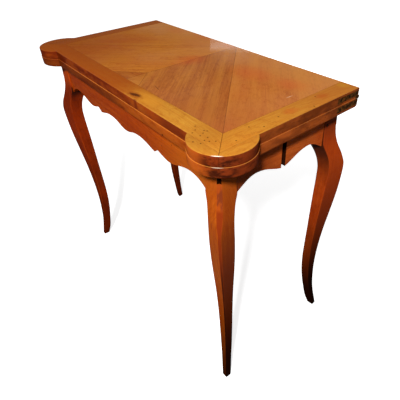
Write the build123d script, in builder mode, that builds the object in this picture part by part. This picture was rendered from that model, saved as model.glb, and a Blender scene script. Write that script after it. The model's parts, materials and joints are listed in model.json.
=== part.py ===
from build123d import *
import os
from math import acos, asin, degrees, sqrt

# A folding games table on four cabriole legs, in millimetres. The upper leaf turns back through
# half a turn about the rear edge, and the rear half of the frame slides out like a drawer to
# carry it. X runs along the table, Y from the front to the rear and Z up from the floor.
# The origin is on the floor, under the middle of the closed table.

# Leaves
table_height = 740.0
leaf_length = 788.0
leaf_depth = 374.0
leaf_thickness = 21.0
leaf_gap = 0.3
lower_leaf_proud = 1.0
ear_radius = 62.5
ear_inset = 37.0
border_width = 43.0
veneer_thickness = 1.2
baize_thickness = 1.5
upper_rear_round = 3.0
lower_rear_round = 6.0

# Seams of the veneered field, from its middle
centre_seam_offset = 12.0
patch_left_width = 68.0
patch_right_width = 54.0
patch_height = 54.0

# Frame
front_overhang = 20.0
side_overhang = 29.0
rear_overhang = 21.0
post_width = 40.0
apron_thickness = 20.0
front_apron_depth = 84.0
front_scroll_rise = 19.0
side_apron_depth = 86.0
side_scroll_rise = 21.0
front_side_apron_length = 123.0
half_frame_gap = 11.0

# Legs
knee_out = 26.0
arris_notch_width = 6.5
arris_notch_height = 48.0
foot_round = 2.5

# Tenons and their pegs
tenon_length = 15.0
tenon_thickness = 10.0
tenon_height = 50.0
tenon_drop = 12.0
peg_radius = 4.0
peg_length = 24.0
peg_proud = 0.6

# Sliding carriage of the rear half
slide_clearance = 0.3
slide_travel = 165.0
runner_width = 20.0
runner_height = 34.0
runner_drop = 22.0
runner_tenon_length = 8.0
runner_tenon_height = 20.0
groove_depth = 8.3
groove_stop = 10.0
key_height = 12.0
key_reach = 8.0
key_set = 8.0
closing_stop = 0.5
tie_bar_width = 20.0
tie_tenon_length = 6.0
tie_tenon_width = 7.0
cross_bar_width = 20.0
cross_bar_height = 18.0
cross_bar_setback = 2.0

# Glue blocks and the screws through them
block_length = 60.0
block_size = 18.0
front_block_offset = 160.0
side_block_offset = 75.0
block_screw_radius = 2.0
block_screw_head_radius = 4.0
block_screw_head_height = 2.2
block_screw_bite = 12.0

# Hinges let into the end edges
plate_length = 68.0
plate_height = 12.0
plate_thickness = 3.0
plate_edge = 3.5
plate_rear_inset = 1.5
arm_width = 8.0
eye_radius = 4.5
eye_clearance = 0.4
eye_side_clearance = 0.3
hinge_pin_radius = 1.5
hinge_pin_clearance = 0.05
hinge_pin_head_radius = 2.5
hinge_pin_head_height = 0.5
hinge_screw_radius = 1.6
hinge_screw_head_radius = 3.0
hinge_screw_head_height = 1.6
hinge_screw_length = 18.0
hinge_screw_slot_width = 0.8
hinge_screw_slot_depth = 0.7
hinge_screw_shares = (0.14, 0.55, 0.91)

# How far a cutting tool runs past the wood
overrun = 5.0

# Outlines, as shares of the sizes that they follow.
# Leg's four-sided section: height as a share of the leg's, reach of the outer arris and of the side
# arrises past the frame's faces as shares of knee_out, then how deep the side arrises and the inner
# arris lie behind those faces as shares of post_width.
leg_section_shares = (
    (0.0, 0.98, 1.0, -0.23, -0.18),
    (0.057, 0.735, 0.76, -0.04, 0.065),
    (0.115, 0.515, 0.55, 0.125, 0.22),
    (0.172, 0.385, 0.40, 0.27, 0.35),
    (0.244, 0.295, 0.27, 0.40, 0.46),
    (0.315, 0.285, 0.215, 0.47, 0.505),
    (0.401, 0.355, 0.23, 0.515, 0.50),
    (0.487, 0.50, 0.305, 0.545, 0.483),
    (0.573, 0.70, 0.44, 0.57, 0.472),
    (0.659, 0.89, 0.585, 0.56, 0.455),
    (0.731, 0.985, 0.675, 0.525, 0.435),
    (0.781, 1.0, 0.68, 0.51, 0.46),
    (0.824, 0.90, 0.56, 0.595, 0.62),
    (0.860, 0.60, 0.31, 0.82, 0.87),
    (0.888, 0.37, 0.16, 1.06, 1.09),
    (0.931, 0.19, 0.06, 1.3, 1.3),
    (1.0, 0.10, 0.0, 1.4, 1.4),
)
# Chamfer of the leg's outer arris, seen square to the diagonal, on the same two sizes.
chamfer_shares = (
    (1.0, -0.11), (0.94, 0.03), (0.895, 0.22), (0.86, 0.56), (0.825, 1.04), (0.79, 1.36),
    (0.745, 1.47),
)
# Lower edge of the front apron, from the middle out: share of the half length, share of the rise.
centre_lobe_shares = (
    (0.0, 0.0), (0.06, 0.14), (0.126, 0.48), (0.215, 0.66), (0.298, 0.51), (0.36, 0.22),
    (0.412, 0.0),
)
outer_lobe_shares = (
    (0.458, 0.55), (0.526, 0.20), (0.588, 0.02), (0.683, 0.36), (0.775, 0.85), (0.846, 1.0),
    (0.923, 0.76), (0.975, 0.27), (1.0, -0.1),
)
# Lower edge of a side apron's half, from the gap to the leg: share of length, share of rise.
side_scroll_shares = (
    (0.0, 0.0), (0.22, 0.46), (0.38, 0.82), (0.50, 0.97), (0.61, 1.0), (0.72, 0.86),
    (0.82, 0.59), (0.92, 0.24), (1.0, -0.05),
)

# Levels
frame_top = table_height - 2 * leaf_thickness
sliding_top = frame_top - slide_clearance
interface_z = table_height - leaf_thickness
upper_bottom = interface_z + leaf_gap / 2
lower_top = interface_z - leaf_gap / 2

# Plan of the leaves
half_length = leaf_length / 2
ear_reach = ear_radius + lower_leaf_proud - ear_inset
rear_reach = max(knee_out - rear_overhang, eye_radius)
front_edge_y = (ear_reach - leaf_depth - rear_reach) / 2
rear_edge_y = front_edge_y + leaf_depth
leaf_rear_y = rear_edge_y - leaf_gap / 2
field_x = half_length - border_width
field_y = front_edge_y + border_width
ear_x = half_length - ear_inset
ear_y = front_edge_y + ear_inset

# Plan of the frame
side_x = half_length - side_overhang
post_x = side_x - post_width
apron_inner_x = side_x - apron_thickness
frame_front_y = front_edge_y + front_overhang
frame_rear_y = rear_edge_y - rear_overhang
front_post_y = frame_front_y + post_width
rear_post_y = frame_rear_y - post_width
front_apron_back_y = frame_front_y + apron_thickness
rear_apron_front_y = frame_rear_y - apron_thickness
front_half_end_y = front_post_y + front_side_apron_length
rear_half_start_y = front_half_end_y + half_frame_gap

# Plan of the sliding carriage
runner_outer_x = post_x - slide_clearance
runner_inner_x = runner_outer_x - runner_width
runner_front_y = front_apron_back_y + half_frame_gap + slide_clearance
rail_end_y = rear_post_y - half_frame_gap - closing_stop
groove_start_y = runner_front_y + groove_stop
key_start_y = groove_start_y + slide_travel + slide_clearance
runner_top = frame_top - runner_drop
rail_bottom = runner_top - runner_height
runner_bottom = rail_bottom + slide_clearance

# Hinge axis and the plates round it
plate_inner_x = half_length - plate_thickness
eye_split = plate_thickness / 2
eye_pocket_radius = eye_radius + eye_clearance


def board(x0, x1, y0, y1, z0, z1):
    """A square-edged board between two corners."""
    with BuildPart() as plank:
        with BuildSketch(Plane.XY.offset(z0)):
            with Locations(((x0 + x1) / 2, (y0 + y1) / 2)):
                Rectangle(x1 - x0, y1 - y0)
        extrude(amount=z1 - z0)
    return plank.part


def panel(corners, bottom, top):
    """A flat piece of any straight-sided plan."""
    with BuildPart() as sheet:
        with BuildSketch(Plane.XY.offset(bottom)):
            with BuildLine():
                Polyline(*corners, close=True)
            make_face()
        extrude(amount=top - bottom)
    return sheet.part


def rear_round_cutter(edge_z, radius, inward):
    """The wood that is planed off a leaf's rear arris; inward is +1 for a lower arris."""
    with BuildPart() as shaving:
        with BuildSketch(Plane.YZ.offset(-leaf_length)):
            with Locations((leaf_rear_y, edge_z)):
                Rectangle(2 * radius, 2 * radius)
            with Locations((leaf_rear_y - radius, edge_z + inward * radius)):
                Circle(radius, mode=Mode.SUBTRACT)
            with Locations((leaf_rear_y - radius, edge_z + inward * radius)):
                Rectangle(2 * radius, 4 * radius, align=(Align.MAX, Align.CENTER), mode=Mode.SUBTRACT)
                Rectangle(4 * radius, 2 * radius, mode=Mode.SUBTRACT,
                          align=(Align.CENTER, Align.MIN if inward > 0 else Align.MAX))
        extrude(amount=2 * leaf_length)
    return shaving.part


def front_ear_segment(proud, bottom, top):
    """The ear's segment on the front edge, right end, between the edge and the mitre."""
    radius = ear_radius + proud
    front = front_edge_y - proud
    edge_angle = degrees(asin((ear_y - front) / radius))
    edge_x = ear_x - sqrt(radius**2 - (ear_y - front) ** 2)
    with BuildPart() as segment:
        with BuildSketch(Plane.XY.offset(bottom)):
            with BuildLine():
                arc = CenterArc((ear_x, ear_y), radius, -45, edge_angle - 135)
                Polyline((edge_x, front), (half_length + proud, front), arc @ 0)
            make_face()
        extrude(amount=top - bottom)
    return segment.part


def side_ear_segment(proud, bottom, top):
    """The ear's segment on the end edge, right end, between the mitre and the edge."""
    radius = ear_radius + proud
    end = half_length + proud
    edge_angle = degrees(acos((end - ear_x) / radius))
    edge_y = ear_y + sqrt(radius**2 - (end - ear_x) ** 2)
    with BuildPart() as segment:
        with BuildSketch(Plane.XY.offset(bottom)):
            with BuildLine():
                arc = CenterArc((ear_x, ear_y), radius, -45, edge_angle + 45)
                Polyline((end, edge_y), (end, front_edge_y - proud), arc @ 0)
            make_face()
        extrude(amount=top - bottom)
    return segment.part


def countersunk_screws(places, direction, outer, head, head_height, length):
    """Countersunk screws without their slots, each driven against its direction."""
    with BuildPart() as screws:
        with Locations(*[Plane(origin=place, z_dir=direction) for place in places]):
            Cone(outer, head, head_height, align=(Align.CENTER, Align.CENTER, Align.MAX))
            Cylinder(outer, length, align=(Align.CENTER, Align.CENTER, Align.MAX))
    return screws.part


def finish(part, label):
    """Name a finished piece and write it."""
    part.label = label
    export_step(part, f"parts/{label}.step")


def finish_pair(right, label):
    """Write a right-hand piece and its mirror image on the left."""
    finish(right, f"right_{label}")
    finish(mirror(right, about=Plane.YZ), f"left_{label}")


os.makedirs("parts", exist_ok=True)

# Hinge screws. Each plate has three in a row, driven square to the end edge.
plate_front_y = leaf_rear_y - plate_rear_inset - plate_length
plate_centre_shift = plate_edge + plate_height / 2
screw_rows = {
    "upper": (half_length, upper_bottom + plate_centre_shift),
    "lower": (half_length + lower_leaf_proud, lower_top - plate_centre_shift),
}
screw_holes = {}
for row_name, (face_x, row_z) in screw_rows.items():
    row_places = [(face_x, plate_front_y + share * plate_length, row_z) for share in hinge_screw_shares]
    screw_holes[row_name] = countersunk_screws(
        row_places, (1, 0, 0), hinge_screw_radius, hinge_screw_head_radius,
        hinge_screw_head_height, hinge_screw_length,
    )
    with BuildPart() as hinge_screws:
        add(screw_holes[row_name])
        with Locations(*row_places):
            Box(2 * hinge_screw_slot_depth, hinge_screw_slot_width, 3 * hinge_screw_head_radius,
                mode=Mode.SUBTRACT)
        mirror(about=Plane.YZ)
    finish(hinge_screws.part, f"{row_name}_hinge_screws")


def hinge_plate_blank(face_x, edge_z, inward):
    """A plate, its arm and its eye before the eyes are halved; inward is +1 in the upper leaf."""
    with BuildPart() as blank:
        with BuildSketch(Plane.YZ.offset(plate_inner_x)):
            with Locations((plate_front_y, edge_z + inward * plate_edge)):
                Rectangle(plate_length, plate_height,
                          align=(Align.MIN, Align.MIN if inward > 0 else Align.MAX))
            with Locations((plate_front_y + plate_length, edge_z)):
                Rectangle(arm_width, plate_edge + plate_height,
                          align=(Align.MAX, Align.MIN if inward > 0 else Align.MAX))
            with Locations((rear_edge_y, interface_z)):
                Circle(eye_radius)
        extrude(amount=face_x - plate_inner_x)
    return blank.part


def eye_cut(x0, x1, radius):
    """A round cut about the hinge axis."""
    with BuildPart() as cut:
        with BuildSketch(Plane.YZ.offset(x0)):
            with Locations((rear_edge_y, interface_z)):
                Circle(radius)
        extrude(amount=x1 - x0)
    return cut.part


# Upper hinge plate: steel, with the outer half of the eyes, turning on the pin.
with BuildPart() as upper_hinge_plate:
    add(hinge_plate_blank(half_length, upper_bottom, 1))
    add(eye_cut(plate_inner_x - overrun, plate_inner_x + eye_split + eye_side_clearance / 2,
                eye_pocket_radius), mode=Mode.SUBTRACT)
    add(eye_cut(plate_inner_x, half_length + overrun, hinge_pin_radius + hinge_pin_clearance),
        mode=Mode.SUBTRACT)
    add(screw_holes["upper"], mode=Mode.SUBTRACT)
finish_pair(upper_hinge_plate.part, "upper_hinge_plate")

# Lower hinge plate: the inner half of the eyes, holding the pin.
with BuildPart() as lower_hinge_plate:
    add(hinge_plate_blank(half_length + lower_leaf_proud, lower_top, -1))
    add(eye_cut(plate_inner_x + eye_split - eye_side_clearance / 2, half_length + overrun,
                eye_pocket_radius), mode=Mode.SUBTRACT)
    add(eye_cut(plate_inner_x, half_length + overrun, hinge_pin_radius), mode=Mode.SUBTRACT)
    add(screw_holes["lower"], mode=Mode.SUBTRACT)
finish_pair(lower_hinge_plate.part, "lower_hinge_plate")

# Hinge pin: a plain rivet through both eyes, headed on the outside.
with BuildPart() as hinge_pin:
    add(eye_cut(plate_inner_x, half_length + eye_side_clearance, hinge_pin_radius))
    add(eye_cut(half_length + eye_side_clearance,
                half_length + eye_side_clearance + hinge_pin_head_height, hinge_pin_head_radius))
finish_pair(hinge_pin.part, "hinge_pin")


def let_in_hinge(plate_blank, row_name):
    """The wood that is cut from a side border for its plate, the eyes and the screws."""
    with BuildPart() as housing:
        add(plate_blank)
        add(eye_cut(plate_inner_x - eye_side_clearance, half_length + overrun, eye_pocket_radius))
        add(screw_holes[row_name])
    return housing.part


# Leaves. Both have a core board framed on three sides by mitred borders, with two segments
# glued round each front corner to make its ear. The upper one's core is veneered.
leaf_layers = {
    "upper": (0.0, upper_bottom, table_height, rear_round_cutter(table_height, upper_rear_round, -1),
              hinge_plate_blank(half_length, upper_bottom, 1)),
    "lower": (lower_leaf_proud, frame_top, lower_top, rear_round_cutter(frame_top, lower_rear_round, 1),
              hinge_plate_blank(half_length + lower_leaf_proud, lower_top, -1)),
}
block_places = [
    (front_block_offset, front_apron_back_y + block_size / 2),
    (-front_block_offset, front_apron_back_y + block_size / 2),
    (apron_inner_x - block_size / 2, front_post_y + side_block_offset),
    (block_size / 2 - apron_inner_x, front_post_y + side_block_offset),
]
block_screw_places = [(x, y, frame_top - block_size) for x, y in block_places]
block_screw_holes = countersunk_screws(
    block_screw_places, (0, 0, -1), block_screw_radius, block_screw_head_radius,
    block_screw_head_height, block_size + block_screw_bite,
)
for leaf, (proud, leaf_bottom, leaf_top, rounding, plate_blank) in leaf_layers.items():
    end_x = half_length + proud
    front_y = front_edge_y - proud

    # Front border, mitred at both ends
    finish(panel([(-field_x, field_y), (-end_x, front_y), (end_x, front_y), (field_x, field_y)],
                 leaf_bottom, leaf_top), f"{leaf}_front_border")

    # Side borders, with the housings of the hinges
    with BuildPart() as side_border:
        add(panel([(field_x, field_y), (end_x, front_y), (end_x, leaf_rear_y), (field_x, leaf_rear_y)],
                  leaf_bottom, leaf_top))
        add(rounding, mode=Mode.SUBTRACT)
        add(let_in_hinge(plate_blank, leaf), mode=Mode.SUBTRACT)
    finish_pair(side_border.part, f"{leaf}_side_border")

    # Ear segments
    finish_pair(front_ear_segment(proud, leaf_bottom, leaf_top), f"{leaf}_front_ear")
    finish_pair(side_ear_segment(proud, leaf_bottom, leaf_top), f"{leaf}_side_ear")

# Core boards, lower than the borders by the baize and, on the upper one, by the veneer
with BuildPart() as upper_core:
    add(board(-field_x, field_x, field_y, leaf_rear_y, upper_bottom + baize_thickness,
              table_height - veneer_thickness))
    add(leaf_layers["upper"][3], mode=Mode.SUBTRACT)
finish(upper_core.part, "upper_core_board")

with BuildPart() as lower_core:
    add(board(-field_x, field_x, field_y, leaf_rear_y, frame_top, lower_top - baize_thickness))
    add(leaf_layers["lower"][3], mode=Mode.SUBTRACT)
    add(block_screw_holes, mode=Mode.SUBTRACT)
finish(lower_core.part, "lower_core_board")

# Baize linings of the two playing surfaces
finish(board(-field_x, field_x, field_y, leaf_rear_y, upper_bottom, upper_bottom + baize_thickness),
       "upper_baize")
finish(board(-field_x, field_x, field_y, leaf_rear_y, lower_top - baize_thickness, lower_top),
       "lower_baize")

# Veneer of the upper field: two mirrored halves, each cut by a diagonal that runs from its
# front corner to the rear end of the centre seam, and a small triangle at the front
seam_rear = (centre_seam_offset, leaf_rear_y)
seam_front = (centre_seam_offset, field_y)
patch_peak = (centre_seam_offset, field_y + patch_height)
patch_left = (centre_seam_offset - patch_left_width, field_y)
patch_right = (centre_seam_offset + patch_right_width, field_y)
veneer_panels = {
    "front_left_veneer": [(-field_x, field_y), patch_left, patch_peak, seam_rear],
    "front_right_veneer": [(field_x, field_y), patch_right, patch_peak, seam_rear],
    "rear_left_veneer": [(-field_x, field_y), seam_rear, (-field_x, leaf_rear_y)],
    "rear_right_veneer": [(field_x, field_y), seam_rear, (field_x, leaf_rear_y)],
    "left_patch_veneer": [patch_left, seam_front, patch_peak],
    "right_patch_veneer": [patch_right, seam_front, patch_peak],
}
for label, corners in veneer_panels.items():
    with BuildPart() as veneer:
        add(panel(corners, table_height - veneer_thickness, table_height))
        add(leaf_layers["upper"][3], mode=Mode.SUBTRACT)
    finish(veneer.part, label)

# Draw pegs through the side aprons' tenons, front pair and rear pair
peg_z = frame_top - tenon_drop - tenon_height / 2
peg_head_x = side_x + leg_section_shares[-2][1] * knee_out / 2 + peg_proud
peg_sets = {}
for label, peg_y in (
    ("front_pegs", front_post_y - tenon_length / 2),
    ("rear_pegs", rear_post_y + tenon_length / 2),
):
    with BuildPart() as pegs:
        with Locations(Plane(origin=(peg_head_x, peg_y, peg_z), z_dir=(1, 0, 0))):
            Cylinder(peg_radius, peg_length, align=(Align.CENTER, Align.CENTER, Align.MAX))
        mirror(about=Plane.YZ)
    peg_sets[label] = pegs.part
    finish(pegs.part, label)

# Cross bar: ties the front half's sides together and carries the runners
cross_bar_rear_y = front_half_end_y - cross_bar_setback
with BuildPart() as cross_bar:
    add(board(-apron_inner_x, apron_inner_x, cross_bar_rear_y - cross_bar_width, cross_bar_rear_y,
              rail_bottom - cross_bar_height, rail_bottom))
finish(cross_bar.part, "cross_bar")

# Front apron: scrolled lower edge with a step on each side, tenoned into the front legs
front_lowest = frame_top - front_apron_depth
with BuildPart() as front_apron:
    with BuildSketch(Plane(origin=(0, front_apron_back_y, 0), x_dir=(1, 0, 0), z_dir=(0, -1, 0))):
        with BuildLine():
            centre_lobe = Spline(
                *[(x * post_x, front_lowest + z * front_scroll_rise) for x, z in centre_lobe_shares])
            outer_lobe = Spline(
                *[(x * post_x, front_lowest + z * front_scroll_rise) for x, z in outer_lobe_shares])
            Line(centre_lobe @ 1, outer_lobe @ 0)
            Polyline(outer_lobe @ 1, (post_x, frame_top), (0, frame_top), centre_lobe @ 0)
        make_face()
        mirror(about=Plane.YZ)
    extrude(amount=apron_thickness)
    add(board(-post_x - tenon_length, post_x + tenon_length,
              front_apron_back_y - apron_thickness / 2 - tenon_thickness / 2,
              front_apron_back_y - apron_thickness / 2 + tenon_thickness / 2,
              frame_top - tenon_drop - tenon_height, frame_top - tenon_drop))
finish(front_apron.part, "front_apron")


def side_apron(gap_y, post_y, inner_x, top, toward_post):
    """Half a side apron on the right, from the gap to a leg, with its tenon."""
    lowest = frame_top - side_apron_depth
    length = post_y - gap_y
    tenon_x = side_x - apron_thickness / 2
    with BuildPart() as apron:
        with BuildSketch(Plane.YZ.offset(inner_x)):
            with BuildLine():
                edge = Spline(*[(gap_y + s * length, lowest + z * side_scroll_rise)
                                for s, z in side_scroll_shares])
                Polyline(edge @ 1, (post_y, top), (gap_y, top), edge @ 0)
            make_face()
        extrude(amount=side_x - inner_x)
        add(board(tenon_x - tenon_thickness / 2, tenon_x + tenon_thickness / 2,
                  min(post_y, post_y + toward_post * tenon_length),
                  max(post_y, post_y + toward_post * tenon_length),
                  frame_top - tenon_drop - tenon_height, frame_top - tenon_drop))
    return apron.part


# Side aprons: the front half stays, the rear half goes with the carriage
with BuildPart() as front_side_apron:
    add(side_apron(front_half_end_y, front_post_y, apron_inner_x, frame_top, -1))
    add(peg_sets["front_pegs"], mode=Mode.SUBTRACT)
finish_pair(front_side_apron.part, "front_side_apron")

with BuildPart() as rear_side_apron:
    add(side_apron(rear_half_start_y, rear_post_y, apron_inner_x + slide_clearance, sliding_top, 1))
    add(peg_sets["rear_pegs"], mode=Mode.SUBTRACT)
finish_pair(rear_side_apron.part, "rear_side_apron")

# Moving runners: grooved on the outside, stopped short of the front end so that the guide key
# ends the travel, and tenoned into the rear apron
runner_tenon_z = (runner_bottom + runner_top) / 2
tie_tenon_y = runner_front_y + tie_tenon_width / 2 + slide_clearance
with BuildPart() as moving_runner:
    add(board(runner_inner_x, runner_outer_x, runner_front_y, rear_apron_front_y,
              runner_bottom, runner_top))
    add(board((runner_inner_x + runner_outer_x) / 2 - runner_width / 4,
              (runner_inner_x + runner_outer_x) / 2 + runner_width / 4,
              rear_apron_front_y, rear_apron_front_y + runner_tenon_length,
              runner_tenon_z - runner_tenon_height / 2, runner_tenon_z + runner_tenon_height / 2))
    add(board(runner_outer_x - groove_depth, runner_outer_x + overrun, groove_start_y,
              rail_end_y + half_frame_gap, runner_tenon_z - key_height / 2 - slide_clearance,
              runner_tenon_z + key_height / 2 + slide_clearance), mode=Mode.SUBTRACT)
    add(board(runner_inner_x - overrun, runner_inner_x + tie_tenon_length,
              tie_tenon_y - tie_tenon_width / 2, tie_tenon_y + tie_tenon_width / 2,
              runner_tenon_z - runner_tenon_height / 2, runner_tenon_z + runner_tenon_height / 2),
        mode=Mode.SUBTRACT)
finish_pair(moving_runner.part, "moving_runner")

# Tie bar between the runners' front ends
with BuildPart() as tie_bar:
    add(board(-runner_inner_x, runner_inner_x, runner_front_y, runner_front_y + tie_bar_width,
              runner_bottom, runner_top))
    add(board(-runner_inner_x - tie_tenon_length, runner_inner_x + tie_tenon_length,
              tie_tenon_y - tie_tenon_width / 2, tie_tenon_y + tie_tenon_width / 2,
              runner_tenon_z - runner_tenon_height / 2, runner_tenon_z + runner_tenon_height / 2))
finish(tie_bar.part, "tie_bar")

# Rear apron: plain, with mortises for the runners
with BuildPart() as rear_apron:
    add(board(-post_x, post_x, rear_apron_front_y, frame_rear_y, frame_top - side_apron_depth,
              sliding_top))
    add(board(-post_x - tenon_length, post_x + tenon_length,
              frame_rear_y - apron_thickness / 2 - tenon_thickness / 2,
              frame_rear_y - apron_thickness / 2 + tenon_thickness / 2,
              frame_top - tenon_drop - tenon_height, frame_top - tenon_drop))
    add(moving_runner.part, mode=Mode.SUBTRACT)
    mirror(moving_runner.part, about=Plane.YZ, mode=Mode.SUBTRACT)
finish(rear_apron.part, "rear_apron")

# Guide keys: hardwood strips let into the fixed rails, each running in a runner's groove
with BuildPart() as guide_key:
    add(board(post_x - key_reach, post_x + key_set, key_start_y, rail_end_y,
              runner_tenon_z - key_height / 2, runner_tenon_z + key_height / 2))
finish_pair(guide_key.part, "guide_key")

# Fixed rails: glued inside the front side aprons and reaching back between the two halves
with BuildPart() as fixed_rail:
    add(board(post_x, apron_inner_x, front_post_y, rail_end_y, rail_bottom, runner_top))
    add(guide_key.part, mode=Mode.SUBTRACT)
finish_pair(fixed_rail.part, "fixed_rail")

# Glue blocks under the lower leaf, and the screws through them
with BuildPart() as glue_blocks:
    for x, y in block_places[:2]:
        add(board(x - block_length / 2, x + block_length / 2, y - block_size / 2, y + block_size / 2,
                  frame_top - block_size, frame_top))
    for x, y in block_places[2:]:
        add(board(x - block_size / 2, x + block_size / 2, y - block_length / 2, y + block_length / 2,
                  frame_top - block_size, frame_top))
    add(block_screw_holes, mode=Mode.SUBTRACT)
finish(glue_blocks.part, "glue_blocks")
finish(block_screw_holes, "leaf_screws")


def cabriole_leg(corner_y, end, top, apron_parts):
    """A right-hand leg of four-sided section under a square post; end is -1 at the front."""
    corner = (side_x, corner_y, 0)
    diagonal = sqrt(2)
    with BuildSketch(Plane.XY) as shaving:
        with BuildLine():
            facet = Spline(*[(reach * knee_out, height * frame_top) for height, reach in chamfer_shares])
            Polyline(facet @ 1, (2 * diagonal * knee_out, frame_top * chamfer_shares[-1][0]),
                     (2 * diagonal * knee_out, frame_top + overrun),
                     (chamfer_shares[0][1] * knee_out, frame_top + overrun), facet @ 0)
        make_face()
    with BuildPart() as leg:
        for height, arris_reach, side_reach, side_depth, inner_depth in leg_section_shares:
            arris = arris_reach * knee_out
            side = side_reach * knee_out
            depth = side_depth * post_width
            inner = inner_depth * post_width
            with BuildSketch(Plane.XY.offset(height * frame_top)):
                with BuildLine():
                    Polyline((side_x + arris, corner_y + end * arris),
                             (side_x - depth, corner_y + end * side),
                             (side_x - inner, corner_y - end * inner),
                             (side_x + side, corner_y - end * depth), close=True)
                make_face()
        loft()
        with Locations((side_x, corner_y, 0)):
            Box(2 * post_width, 2 * post_width, 2 * frame_top, mode=Mode.INTERSECT)
        with BuildSketch(Plane(origin=corner, x_dir=(1, end, 0), z_dir=(end, -1, 0))):
            add(shaving.sketch)
        extrude(amount=2 * post_width, both=True, mode=Mode.SUBTRACT)
        with Locations((side_x, corner_y, frame_top)):
            Box(2 * arris_notch_width, 2 * arris_notch_width, 2 * arris_notch_height, mode=Mode.SUBTRACT)
        with Locations((side_x, corner_y, top)):
            Box(4 * post_width, 4 * post_width, overrun, mode=Mode.SUBTRACT,
                align=(Align.CENTER, Align.CENTER, Align.MIN))
        fillet(leg.faces().sort_by(Axis.Z)[0].edges(), foot_round)
        for apron_part in apron_parts:
            add(apron_part, mode=Mode.SUBTRACT)
    return leg.part


# Legs: the front pair stands under the fixed half, the rear pair goes with the carriage
front_leg = cabriole_leg(frame_front_y, -1, frame_top,
                         [front_apron.part, front_side_apron.part, peg_sets["front_pegs"]])
finish_pair(front_leg, "front_leg")
rear_leg = cabriole_leg(frame_rear_y, 1, sliding_top,
                        [rear_apron.part, rear_side_apron.part, peg_sets["rear_pegs"]])
finish_pair(rear_leg, "rear_leg")
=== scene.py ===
import json
import math

import bmesh
import bpy
import numpy as np
from mathutils import Matrix, Vector


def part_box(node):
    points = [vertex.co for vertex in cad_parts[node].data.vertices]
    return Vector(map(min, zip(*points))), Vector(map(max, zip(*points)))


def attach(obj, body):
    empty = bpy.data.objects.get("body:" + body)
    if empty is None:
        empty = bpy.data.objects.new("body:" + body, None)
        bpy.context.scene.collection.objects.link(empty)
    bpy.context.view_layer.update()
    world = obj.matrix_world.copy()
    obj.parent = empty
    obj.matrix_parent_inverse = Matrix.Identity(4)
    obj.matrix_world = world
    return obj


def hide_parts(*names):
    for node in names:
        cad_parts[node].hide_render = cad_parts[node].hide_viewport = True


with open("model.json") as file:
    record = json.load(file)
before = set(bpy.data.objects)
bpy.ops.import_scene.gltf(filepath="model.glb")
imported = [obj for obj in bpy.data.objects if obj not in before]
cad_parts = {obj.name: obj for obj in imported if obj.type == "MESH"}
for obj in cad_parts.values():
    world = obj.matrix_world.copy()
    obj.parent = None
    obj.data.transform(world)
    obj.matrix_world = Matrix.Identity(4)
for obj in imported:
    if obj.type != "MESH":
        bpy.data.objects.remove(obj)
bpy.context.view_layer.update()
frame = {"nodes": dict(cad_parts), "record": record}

# Legs. Four cabriole legs of one sawn shape, each with a square post on top. They are solid fruitwood,
# shaped from the plank with a drawknife: four faces that turn out to the foot, a chamfer shaved down
# the outer arris of the knee, and a small notch at the head of the post under the round ear.
mm = 0.001
side_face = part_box("right_front_side_apron")[1][0]
front_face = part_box("front_apron")[0][1]
rear_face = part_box("rear_apron")[1][1]
leg_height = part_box("right_front_leg")[1][2]
post_width = 40 * mm
knee_out = 26 * mm
knee_height = 600 * mm
notch_width = 1.5 * mm
notch_height = 45 * mm
notch_rows = 5
foot_round = 2.5 * mm
foot_rows = 5
side_arris_round = 2.2 * mm
inner_arris_round = 2.0 * mm
chamfer_arris_round = 1.0 * mm
rounding_limit = 0.42
leg_row_step = 7 * mm
arc_points = 5
face_shares = (0.12, 0.5, 0.88)
leg_sharp_angle = math.radians(38)
# Height as a share of the leg's, reach of the outer arris and of the side arrises as shares of
# knee_out, depth of the side arrises and of the inner arris as shares of post_width.
leg_section_shares = np.array([
    (0.0, 0.98, 1.0, -0.23, -0.18),
    (0.057, 0.735, 0.76, -0.04, 0.065),
    (0.115, 0.515, 0.55, 0.125, 0.22),
    (0.172, 0.385, 0.40, 0.27, 0.35),
    (0.244, 0.295, 0.27, 0.40, 0.46),
    (0.315, 0.285, 0.215, 0.47, 0.505),
    (0.401, 0.355, 0.23, 0.515, 0.50),
    (0.487, 0.50, 0.305, 0.545, 0.483),
    (0.573, 0.70, 0.44, 0.57, 0.472),
    (0.659, 0.89, 0.585, 0.56, 0.455),
    (0.731, 0.985, 0.675, 0.525, 0.435),
    (0.781, 1.0, 0.68, 0.51, 0.46),
    (0.824, 0.90, 0.56, 0.595, 0.62),
    (0.860, 0.60, 0.31, 0.82, 0.87),
    (0.888, 0.37, 0.16, 1.06, 1.09),
    (0.931, 0.19, 0.06, 1.3, 1.3),
    (1.0, 0.10, 0.0, 1.4, 1.4),
])
# Chamfer seen square to the diagonal: height as a share of the leg's, reach as a share of knee_out.
chamfer_shares = np.array([
    (0.70, 2.2), (0.745, 1.47), (0.79, 1.36), (0.825, 1.04), (0.86, 0.56), (0.895, 0.22),
    (0.94, 0.03), (1.0, -0.11),
])
# Arris below the chamfer, worn to a narrow flat: height as a share, width as a share of knee_out. The
# flat runs out over the last stretch below worn_flat_end.
worn_flat_shares = np.array([(0.0, 0.08), (0.3, 0.10), (0.45, 0.13), (0.6, 0.20), (0.74, 0.26), (1.0, 0.26)])
worn_flat_depth = 1.6 * mm
worn_flat_end = 0.9
worn_flat_run_out = 0.12
log_wander = 75 * mm
log_taper = 0.035


def tone(red, green, blue):
    """A paint-card colour, 0 to 255 a channel, as the linear light that a shader takes."""
    value = np.array((red, green, blue)) / 255
    linear = np.where(value <= 0.04045, value / 12.92, ((value + 0.055) / 1.055) ** 2.4)
    return (*linear.tolist(), 1.0)


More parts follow.
